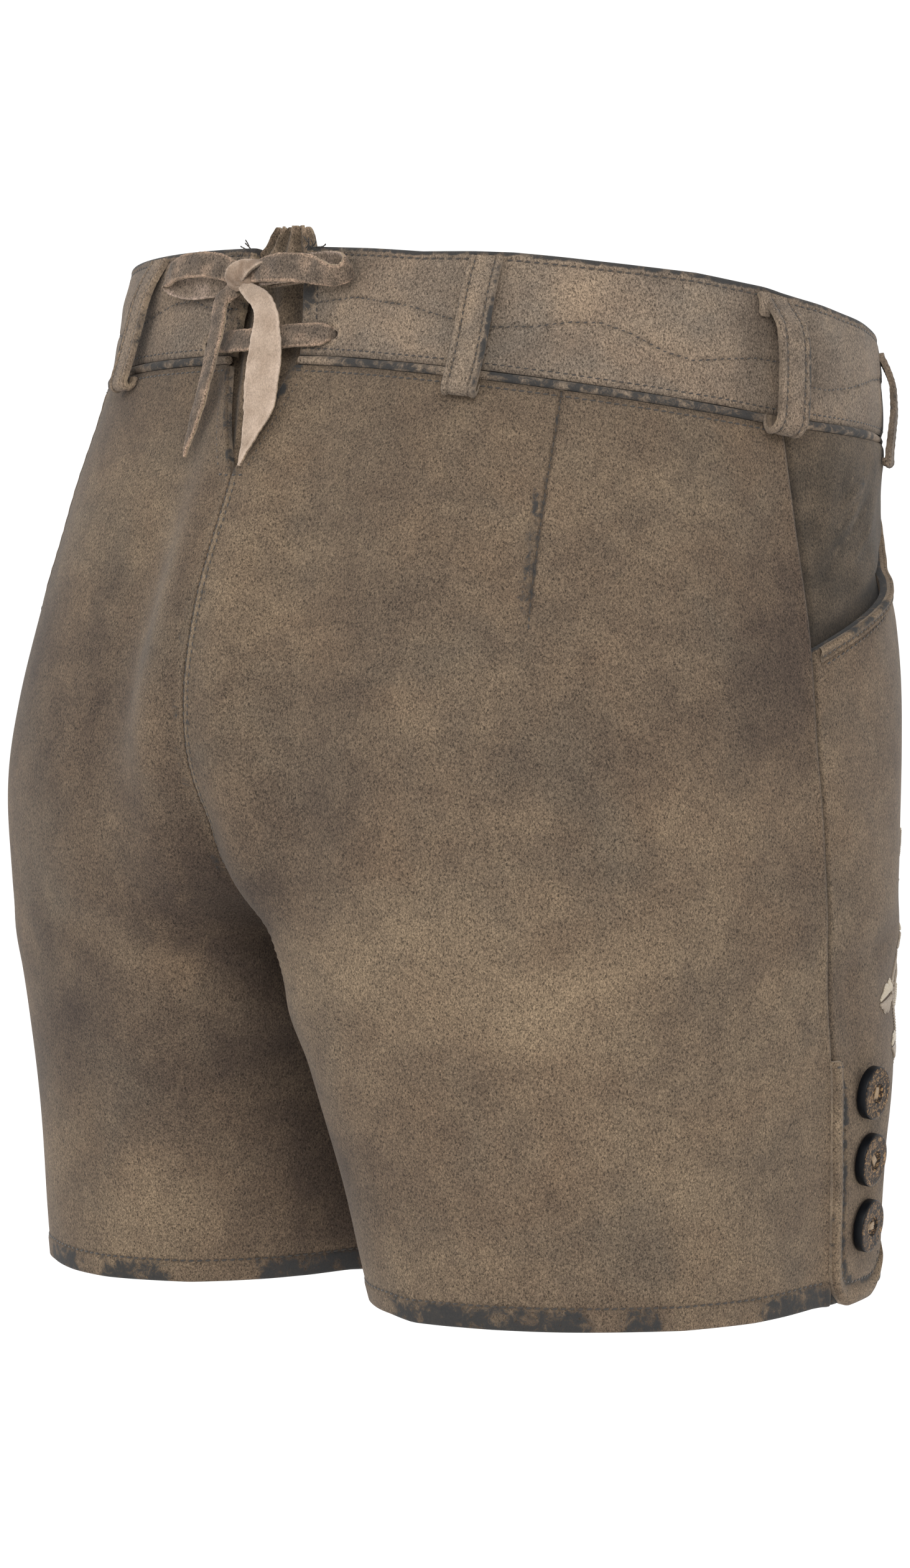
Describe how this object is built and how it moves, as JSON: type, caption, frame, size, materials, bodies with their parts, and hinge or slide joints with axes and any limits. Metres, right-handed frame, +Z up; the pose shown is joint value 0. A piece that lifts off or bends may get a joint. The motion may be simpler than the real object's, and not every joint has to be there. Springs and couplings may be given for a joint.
{
  "type": "lederhosen",
  "caption": "Short suede lederhosen, worn shape and hollow: laced back notch with a bow, belt loops, drop-front flap, slanted pockets, buttoned leg plackets.",
  "frame": {"origin": "centre of the waist opening, level with the middle of the waistband's sloping top edge", "axes": "+X to the wearer's left, +Y to the wearer's back, +Z up along the worn garment"},
  "size_m": [0.3548, 0.2772, 0.3871],
  "materials": {
    "suede": "grey-brown velour suede, brushed and rubbed, full matt",
    "suede_dark": "darker grey-brown suede of the inset pieces, matt",
    "lace": "cut suede lace, pale flesh side and grey-brown dyed side, matt",
    "piping": "rubbed charcoal-blue suede piping, matt",
    "horn": "turned stag horn, mottled brown and cream with a dark rim, satin",
    "thread": "dark brown sewing thread",
    "embroidery": "cream twisted embroidery thread, slightly glossy"
  },
  "bodies": {
    "root": {"back_panel_right": "suede", "front_panel_right": "suede", "hip_piece_right": "suede_dark", "pocket_welt_right": "suede_dark", "waistband_right": "suede", "waist_piping_right": "piping", "belt_loop_back_right": "suede", "belt_loop_side_right": "suede", "belt_loop_front_right": "suede", "leg_placket_right": "suede", "leg_button_right_1": "horn", "leg_button_right_2": "horn", "leg_button_right_3": "horn", "flap_button_right": "horn", "lace_upper_right": "lace", "bow_loop_right": "lace", "lace_tail_right": "lace", "back_panel_left": "suede", "front_panel_left": "suede", "hip_piece_left": "suede_dark", "pocket_welt_left": "suede_dark", "waistband_left": "suede", "waist_piping_left": "piping", "belt_loop_back_left": "suede", "belt_loop_side_left": "suede", "belt_loop_front_left": "suede", "leg_placket_left": "suede", "leg_button_left_1": "horn", "leg_button_left_2": "horn", "leg_button_left_3": "horn", "flap_button_left": "horn", "lace_upper_left": "lace", "bow_loop_left": "lace", "lace_tail_left": "lace", "back_gusset": "suede_dark", "lace_cross": "lace", "lace_knot": "lace", "front_flap": "suede"}
  },
  "joints": []
}
